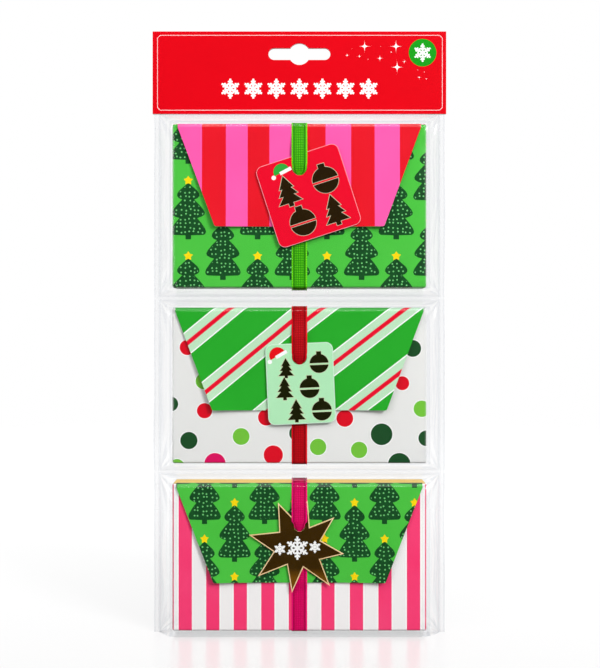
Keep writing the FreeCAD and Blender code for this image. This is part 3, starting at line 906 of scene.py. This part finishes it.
def star_finish(hole):
    """Dark gold foil with a painted highlight that grows towards the foot, and three white snowflakes
    across the middle.
    """
    flake_drop = 0.5
    side_flakes, side_lean = (-8.7, 8.7), 0.06
    highlight_slope, highlight_start, highlight_gain = 0.16, 1.7, 1.1
    material, tree, skin = new_finish("bottom_tag_face")
    x, _, z = places_on(tree)
    up = z - (hole.z / MM - star_hang)
    across = x - star_shift
    flakes = snowflake(across, up + flake_drop, reach=5.8, line=0.52)
    for side in side_flakes:
        side_up = up + flake_drop - side * side_lean
        flakes = flakes | snowflake(across - side, side_up, reach=3.0, line=0.34)
    white = flakes > 0.0
    # Painted highlight: the foil is painted lighter and more golden towards the star's foot, like a
    # reflection.
    foot_highlight = ((up * -highlight_slope - highlight_start | 0.0) & 1.0) * (mottle(tree, 16) * highlight_gain)
    foil = paint(ink(70, 47, 5), mottle(tree, 6), ink(90, 61, 11))
    foil = paint(foil, foot_highlight & 1.0, ink(204, 132, 26))
    tree.links.new(paint(foil, white, ink(250, 250, 248)), skin["Base Color"])
    ((1.0 - white) * 0.5).feed(skin["Metallic"])
    (white * 0.3 + mottle(tree, 3) * 0.06 + 0.16).feed(skin["Roughness"])
    emboss(mottle(tree, 8) * 0.4 + white * 0.4, 0.03, skin)
    return material


tag_prints = {
    "top": {
        "card": (ink(237, 0, 42), ink(229, 0, 36)),
        "foil": ink(50, 34, 8),
        "halo": ink(190, 196, 164),
        "hat": (-9.0, 0.7, 10, ink(48, 168, 58)),
        "figures": (
            (small_fir, -9.3, -9.6, 15.0), (bauble, 10.4, -9.8, 6.5),
            (bauble, -6.6, -26.4, 6.5), (small_fir, 10.2, -25.6, 15.0),
        ),
    },
    "middle": {
        "card": (ink(172, 230, 180), ink(182, 234, 188)),
        "foil": ink(36, 38, 8),
        "halo": ink(206, 214, 170),
        "hat": (-10.8, 1.2, 28, ink(230, 6, 20)),
        "figures": (
            (small_fir, -6.9, -5.4, 9.6), (bauble, 9.6, -3.6, 4.7),
            (small_fir, -8.0, -15.6, 11.0), (bauble, 4.4, -15.6, 4.9),
            (small_fir, -2.6, -26.8, 11.0), (bauble, 10.0, -27.0, 4.9),
        ),
    },
}


def tag_finish(place, hole):
    """The face of a tag: a printed card with a hat and foil figures, or the foiled star."""
    if place == "bottom":
        return star_finish(hole)
    material, tree, skin = new_finish(f"{place}_tag_face")
    x, _, z = places_on(tree)
    across, up = turned(x, z - hole.z / MM, tag_tilts[place])
    design = tag_prints[place]
    pale, deep = design["card"]
    hat_side, hat_level, lean, felt = design["hat"]
    card = paint(pale, mottle(tree, 20), deep)
    card = hat_print(card, across - hat_side, up - hat_level, lean, felt)
    figures = across * 0.0 - 2 * halo_width
    for figure, side, level, size in design["figures"]:
        figures = figures | figure(across - side, up - level, size)
    stamped = figures > 0.0
    hue = paint(paint(card, figures > -halo_width, design["halo"]), stamped, design["foil"])
    tree.links.new(hue, skin["Base Color"])
    (stamped * 0.4).feed(skin["Metallic"])
    (stamped * -0.1 + mottle(tree, 4) * 0.08 + 0.3).feed(skin["Roughness"])
    skin["Specular IOR Level"].default_value = 0.15
    emboss(stamped * 0.6 + mottle(tree, 0.9) * 0.1, 0.04, skin)
    return material


rim_finishes = {
    "top": plain_board(
        "tag_rim", ink(255, 176, 186), ink(252, 150, 164), patch=0.8, gloss=0.5, spread=0.1),
    "middle": plain_board(
        "tag_rim_mint", ink(222, 246, 226), ink(206, 238, 212), patch=0.8, gloss=0.5, spread=0.1),
    "bottom": plain_board(
        "tag_rim_gold", ink(255, 236, 196), ink(240, 184, 104), patch=6, gloss=0.3, spread=0.1),
}
for place in PLACES:
    hole = Vector(hinges[f"{place}_tag_swing"]["pos_m"])
    front, back = tag_boxes[place][0].y, tag_boxes[place][1].y
    tag = tag_plate(place, hole, back, front, tag_finish(place, hole), rim_finishes[place])
    tag.data.set_sharp_from_angle(angle=tag_crisp_angle)
    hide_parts(f"{place}_tag")
    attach(tag, f"{place}_tag_body")


# Bag: two webs of clear film welded down both sides and across between the cartons. The film is tight
# over the fronts and runs to the welds in soft folds, with creases that fan out from the seal corners.
# Each front is cut on three sides as a window that lifts with the flap behind it.
film_gauge = 0.06 * MM
film_ease = 0.7 * MM
side_round = 5 * MM
head_round = 4 * MM
side_weld = 2.5 * MM
cross_weld = 1.5 * MM
margin_cells = 34
front_cells = 56
margin_width = 10 * MM
wall_bulge = 2.2
ripple_across, ripple_along, ripple_depth = 16 * MM, 70 * MM, 0.09 * MM
edge_wave, edge_wave_run, edge_wave_row = 0.5 * MM, 38 * MM, 4
fold_count = 5
side_sway, cross_sway, corner_blend = 0.2, 0.12, 2
first_fold, fold_jitter, fold_gap = 0.08, (0, 0.1), (0.1, 0.18)
sway_range, ridge_range, valley_range = (0.3, 1), (0.012, 0.035), (-0.03, -0.01)
fan_reach = 24 * MM
fan_rays, fan_shift, fan_fade, fan_line = 1.9, 9, 5, 9
ray_reach, ray_depth, ray_cover = 9 * MM, 0.17, 1.6
front_clearness = 0.79
weld_clearness = 0.78
weld_line = 0.07
weld_nudge = 0.01 * MM
edge_line = 0.6 * MM
# Clearness painted on the facets of a fold, from the weld inwards: painted shade and highlight standing
# in for the facets' reflections.
facet_shading = (0.42, 0.92, front_clearness)
# Fan rays painted clear on one side of each crease and grey on the other: painted shade.
ray_facet_shading = (0.95, 0.2)
crease_half = 0.05
# A painted highlight in the film beside each carton edge: a grey band, then a clear one.
carton_highlight_share, carton_highlight_bands, carton_highlight_end = 0.62, (0.1, 0.13), 2.2
# On the key lamp's side the facets are painted clearer and the creases darker: painted light and shade.
lit_side_highlight = 0.75
back_calm = 0.5
weld_haze = 0.06
mirror_edge_on, mirror_face_on = 0.11, 0.012
window_slack = 5 * MM
web_low, web_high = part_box("bag_front_web")
web_depth = -web_low.y - film_gauge
header_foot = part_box("header_card")[0].z
weld_half = web_high.x - side_weld
rim_half = cartons["top"][1].x + film_ease
upper_seal = (cartons["middle"][1].z + cartons["top"][0].z) / 2
lower_seal = (cartons["bottom"][1].z + cartons["middle"][0].z) / 2
below_floor = -1.0
roots = (
    (upper_seal + cross_weld / 2, header_foot),
    (lower_seal + cross_weld / 2, upper_seal - cross_weld / 2),
    (below_floor, lower_seal - cross_weld / 2),
)


@functools.cache
def fold_stations(key, sway):
    """Two folds that sway at stations along a wall: place and height, as shares of its run."""
    chance = random.Random(key)
    stations = []
    for station in range(fold_count):
        swayed = sway * (station % 2) * chance.uniform(*sway_range)
        first = first_fold + swayed + chance.uniform(*fold_jitter)
        second = first + chance.uniform(*fold_gap)
        stations.append([(first, chance.uniform(*ridge_range)), (second, chance.uniform(*valley_range))])
    return stations


def folds_at(stations, along, share):
    """Height of the folds at a place on a wall, the clearness painted on its facet as shade and
    highlight, and how near a crease is.
    """
    step = max(0, min(1, along)) * (len(stations) - 1)
    first = min(int(step), len(stations) - 2)
    knots = [(0, 0)]
    for (here, low), (there, high) in zip(stations[first], stations[first + 1]):
        knots.append((here + (there - here) * (step - first), low + (high - low) * (step - first)))
    knots.append((1, 0))
    line = max(0, 1 - min(abs(share - knot) for knot, height in knots[1:-1]) / crease_half)
    for facet, (start, low), (end, high) in zip(facet_shading, knots, knots[1:]):
        if share <= end:
            return low + (high - low) * (share - start) / (end - start), facet, line
    return 0, front_clearness, 0


def zigzag(turns):
    """A folded line that rises and falls between -1 and 1 once in each turn."""
    return 4 * abs(turns % 1 - 0.5) - 1


def film_place(x, level, seed):
    """Depth of the film from the weld plane, and how clear it is painted there, from 0 for grey to 1, as
    painted shade and highlights.
    """
    for place, (root_low, root_high) in zip(PLACES, roots):
        if root_low < level < root_high:
            break
    else:
        return film_gauge, weld_clearness
    low, high = cartons[place]
    upper = level > (root_low + root_high) / 2
    to_weld = max(weld_half - abs(x), 0)
    to_seal = root_high - level if upper else level - root_low
    side_run = weld_half - rim_half + side_round
    cross_run = (root_high - high.z if upper else low.z - root_low) - film_ease + head_round
    side_share, cross_share = to_weld / side_run, to_seal / cross_run
    share = min(1, side_share, cross_share)
    depth = film_gauge + (web_depth - film_gauge) * (1 - (1 - share) ** wall_bulge)
    if share == 1:
        ripple = noise.noise(Vector((x / ripple_across, level / ripple_along, seed)))
        return depth + ripple * ripple_depth, front_clearness
    foot = max(root_low, 0)
    side_folds = fold_stations(f"{seed} {place} {x > 0}", side_sway)
    cross_folds = fold_stations(f"{seed} {place} head {upper}", cross_sway)
    side_fold, side_facet, side_line = folds_at(side_folds, (level - foot) / (root_high - foot), share)
    cross_fold, cross_facet, cross_line = folds_at(cross_folds, (x + weld_half) / (2 * weld_half), share)
    at_side = max(0, min(1, 0.5 + corner_blend * (cross_share - side_share)))
    fold = side_fold * side_run * at_side + cross_fold * cross_run * (1 - at_side) / 2
    corner = min(root_high - level, level - foot)
    reach = math.hypot(corner, to_weld)
    turn = math.atan2(corner, to_weld + weld_nudge) * fan_rays + side_folds[0][0][0] * fan_shift
    fan = max(0, 1 - reach / fan_reach) * min(1, fan_fade * share * (1 - share))
    ray = zigzag(turn) * min(reach, ray_reach) * ray_depth * fan
    facet = side_facet * at_side + cross_facet * (1 - at_side)
    line = side_line * at_side + cross_line * (1 - at_side)
    # Painted light and shade: creases painted clear away from the key lamp and dark on its side, fan
    # rays alternately clear and grey with clear crests, a highlight band beside the carton.
    lit = at_side * (x > 0)
    clear = max(facet, line) * (1 - lit) + (facet + (1 - facet) * lit_side_highlight - line) * lit
    clear += (ray_facet_shading[turn % 1 < 0.5] - clear) * min(1, ray_cover * fan)
    ray_crest_highlight = (1 - (1 - abs(zigzag(turn))) * fan_line) * fan
    from_carton = (carton_highlight_share - share) / carton_highlight_bands[x > 0]
    if 0 < from_carton < carton_highlight_end:
        clear = from_carton > 1
    elif side_share == 0:
        clear = weld_clearness * (abs(x) < web_high.x - edge_line)
    elif side_share < weld_line:
        clear = 0
    return depth + fold + ray, max(clear, ray_crest_highlight, 0)


def film_levels():
    """Rows of the film: under the foot first, then up, close together near the seals."""
    fine, middling, coarse = 0.4 * MM, 1.2 * MM, 3 * MM
    near_seam, off_seam = 8 * MM, 30 * MM
    under = 12
    levels = [-web_depth * (1 - step / under) for step in range(under + 1)]
    while levels[-1] < web_high.z:
        gap = min(abs(levels[-1] - seam) for seam in (0, lower_seal, upper_seal, header_foot))
        step = fine if gap < near_seam else middling if gap < off_seam else coarse
        levels.append(levels[-1] + step)
    levels[-1] = web_high.z
    return levels


def film_sheet(seed, face, calm):
    """A grid, closest at the margins, folded under at the foot and pressed to the film's shape."""
    cells = 2 * margin_cells + front_cells
    levels = film_levels()
    rows = len(levels) - 1
    sheet = bmesh.new()
    bmesh.ops.create_grid(sheet, x_segments=cells, y_segments=rows, size=0.5)
    half = web_high.x
    shaded_clearness_layer = sheet.verts.layers.float.new("shaded_clearness")
    for vertex in sheet.verts:
        column = round((vertex.co.x + 0.5) * cells)
        near_edge = min(column, cells - column)
        if near_edge <= margin_cells:
            along = half - margin_width * near_edge / margin_cells
        else:
            along = (half - margin_width) * (1 - 2 * (near_edge - margin_cells) / front_cells)
        x = math.copysign(along, column - cells / 2)
        level = levels[round((vertex.co.y + 0.5) * rows)]
        depth, clear = film_place(x, max(level, 0), seed)
        # The painted shade and highlights are kept on each point; calm fades them towards clear.
        vertex[shaded_clearness_layer] = clear + (1 - clear) * calm
        if level < 0:
            depth = min(depth, max(0, web_depth + level))
        at_edge = max(0, abs(x) - weld_half) / side_weld
        wave = noise.noise(Vector((level / edge_wave_run, math.copysign(edge_wave_row, x), 0)))
        x += math.copysign(1, x) * wave * edge_wave * at_edge
        vertex.co = (x, face * depth, max(level, 0))
    return sheet


film, film_tree, _ = new_finish("film")
film_tree.nodes.remove(film_tree.nodes["Principled BSDF"])
film_x, _, film_z = places_on(film_tree)
film_grey = (0.945, 0.95, 0.96, 1)
# The film's colour runs from grey to clear by the painted shade and highlights kept on the mesh.
shade_attribute = film_tree.nodes.new("ShaderNodeAttribute")
shade_attribute.attribute_name = "shaded_clearness"
shaded_clearness = Field(shade_attribute.outputs["Fac"])
clear = film_tree.nodes.new("ShaderNodeBsdfTransparent")
film_tree.links.new(paint(film_grey, shaded_clearness, (1, 1, 1, 1)), clear.inputs["Color"])
haze = film_tree.nodes.new("ShaderNodeBsdfDiffuse")
haze.inputs["Color"].default_value = (0.93, 0.94, 0.97, 1)
gloss = film_tree.nodes.new("ShaderNodeBsdfGlossy")
gloss.inputs["Roughness"].default_value = 0.14
edge_on = Field(film_tree.nodes.new("ShaderNodeLayerWeight").outputs["Facing"])
mirror = edge_on * edge_on * mirror_edge_on + mirror_face_on
at_weld = abs(film_x) > weld_half / MM
for seal in (upper_seal, lower_seal):
    at_weld = at_weld | (abs(film_z - seal / MM) < cross_weld / 2 / MM)
hazed = film_tree.nodes.new("ShaderNodeMixShader")
(at_weld * weld_haze).feed(hazed.inputs[0])
film_tree.links.new(clear.outputs[0], hazed.inputs[1])
film_tree.links.new(haze.outputs[0], hazed.inputs[2])
shown = film_tree.nodes.new("ShaderNodeMixShader")
mirror.feed(shown.inputs[0])
film_tree.links.new(hazed.outputs[0], shown.inputs[1])
film_tree.links.new(gloss.outputs[0], shown.inputs[2])
film_tree.links.new(shown.outputs[0], film_tree.nodes["Material Output"].inputs["Surface"])

back_sheet = film_sheet(seed=11, face=1, calm=back_calm)
face_along_y(back_sheet, 1)
back_web = new_piece("bag_back_film", back_sheet, film)
thicken(back_web, film_gauge, 0)
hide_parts("bag_back_web")
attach(back_web, "pack")

front_sheet = film_sheet(seed=2, face=-1, calm=0)
window_boxes = {place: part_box(f"{place}_window") for place in PLACES}
for place in PLACES:
    low, high = window_boxes[place]
    for spot, line in ((low, (1, 0, 0)), (high, (1, 0, 0)), (low, (0, 0, 1)), (high, (0, 0, 1))):
        around = [v for v in front_sheet.verts if low.z - window_slack < v.co.z < high.z + window_slack]
        touched = set(around)
        touched |= {edge for v in around for edge in v.link_edges}
        touched |= {face for v in around for face in v.link_faces}
        bmesh.ops.bisect_plane(front_sheet, geom=list(touched), dist=1e-7, plane_co=spot, plane_no=line)
face_along_y(front_sheet, -1)


def window_of(face):
    """The pocket whose window a face of the front film lies in, or None."""
    middle = face.calc_center_median()
    for place, (low, high) in window_boxes.items():
        if low.x < middle.x < high.x and low.z < middle.z < high.z and middle.y < -web_depth / 2:
            return place
    return None


for owner, name, node, body in (
    (None, "bag_front_film", "bag_front_web", "pack"),
    *((place, f"{place}_film_window", f"{place}_window", f"{place}_flap_body") for place in PLACES),
):
    share = front_sheet.copy()
    others = [face for face in share.faces if window_of(face) != owner]
    bmesh.ops.delete(share, geom=others, context="FACES")
    piece = new_piece(name, share, film)
    thicken(piece, film_gauge, 0)
    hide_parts(node)
    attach(piece, body)
front_sheet.free()


# Header: one strip of gloss board folded over the head of the bag and held to the film by two strips
# of tape inside. It is red on both leaves, with a hang slot cut through, a pale keyline, a row of white
# snowflakes, a few sparkles and a round green badge.
header_low, header_high = (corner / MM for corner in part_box("header_card"))
keyline_inset, keyline_clip, keyline = 1.95, 1.4, 0.28
shift_x, shift_z = 0.26, -0.1
clip_slant = 0.7071
badge_place, badge_radius = (62.0, 291.6), 6.95
sparkles = (
    (32.8, 294.8, 4.2), (48.6, 294.8, 4.6), (49.2, 284.3, 4.6), (24.0, 290.3, 1.6), (30.2, 289.8, 1.5),
    (40.5, 288.8, 2.4), (52.8, 287.1, 1.6), (46.3, 291.9, 0.9), (60.3, 279.2, 1.4), (63.9, 278.4, 0.9),
    (26.3, 293.5, 0.4), (40.8, 294.8, 0.4), (34.5, 288.3, 0.6), (62.9, 281.9, 0.6), (59.5, 283.0, 0.4),
)
slimness = 0.33
flake_pitch, flake_level, flake_count = 11.6, 273.5, 7
leaf_on, fold_depth = 0.5, 0.6

header_board, tree, skin = new_finish("header_print")
x, _, z = places_on(tree)
facing_y = facings_on(tree)[1]
middle = (header_low.z + header_high.z) / 2
beyond_x = abs(x - shift_x) - (header_high.x - keyline_inset - shift_x)
beyond_z = abs(z - middle - shift_z) - ((header_high.z - header_low.z) / 2 - keyline_inset)
ring = beyond_x | beyond_z | (beyond_x + beyond_z + keyline_clip) * clip_slant
line = (abs(ring) < keyline / 2) & (abs(facing_y) > leaf_on)
white = x * 0.0
for across, up, reach in sparkles:
    glint = abs(x - across).calc("POWER", slimness) + abs(z - up).calc("POWER", slimness)
    white = white | (glint < reach ** slimness)
cell = from_nearest(x, -flake_pitch * (flake_count - 1) / 2, flake_pitch)
row = abs(x) < flake_pitch * flake_count / 2
white = white | ((snowflake(cell, z - flake_level, reach=5.0, line=0.5) > 0.0) & row)
badge_x = x - badge_place[0]
badge_z = z - badge_place[1]
badge = distance(badge_x, badge_z) < badge_radius
badge_flake = snowflake(badge_x, badge_z, reach=4.6, line=0.42) > 0.0
front_leaf = facing_y < -leaf_on
red = paint(ink(219, 0, 20), mottle(tree, 40), ink(211, 0, 16))
hue = paint(red, line, ink(255, 212, 212))
hue = paint(hue, white & front_leaf, ink(252, 250, 250))
green = paint(ink(20, 147, 22), mottle(tree, 10), ink(25, 155, 28))
hue = paint(hue, badge & front_leaf, green)
hue = paint(hue, badge_flake & front_leaf, ink(250, 252, 250))
cut_edge = (abs(facing_y) < leaf_on) & (z < header_high.z - fold_depth)
hue = paint(hue, cut_edge, ink(244, 238, 234))
board_skin(tree, skin, hue, gloss=0.3, spread=0.05, shine=0.1)
dress("header_card", header_board)

tape, tape_tree, tape_skin = new_finish("header_tape")
tape_hue = paint(ink(232, 226, 206), mottle(tape_tree, 4), ink(244, 240, 226))
tape_tree.links.new(tape_hue, tape_skin["Base Color"])
tape_skin["Roughness"].default_value = 0.35
emboss(mottle(tape_tree, 1.5), 0.03, tape_skin)
dress("header_tape", tape)
